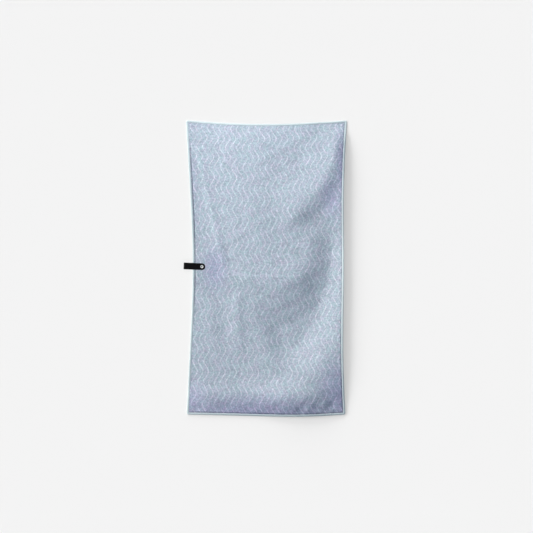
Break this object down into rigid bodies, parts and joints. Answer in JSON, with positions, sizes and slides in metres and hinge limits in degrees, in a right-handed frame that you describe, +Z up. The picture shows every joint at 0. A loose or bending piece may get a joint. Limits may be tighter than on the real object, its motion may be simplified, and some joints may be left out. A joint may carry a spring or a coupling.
{
  "type": "gym towel",
  "caption": "Microfibre gym towel lying face up, with a webbing strap that snaps shut round its edge.",
  "frame": {"origin": "middle of the towel's outline, strap included, on the surface it lies on", "axes": "+Y along the towel to its top end, +Z up out of its printed face, and the strap on the -X side"},
  "size_m": [0.4165, 0.7541, 0.0209],
  "materials": {
    "printed_cloth": "matte plush microfibre, pale wavy print",
    "strap_webbing": "matte ribbed webbing",
    "snap_bright": "polished pressed metal",
    "snap_dull": "satin pressed metal"
  },
  "bodies": {
    "root": {"towel_cloth": "printed_cloth", "hang_strap": "strap_webbing", "snap_ring": "snap_bright", "snap_socket": "snap_dull", "snap_stud": "snap_dull", "snap_post": "snap_dull"}
  },
  "joints": []
}
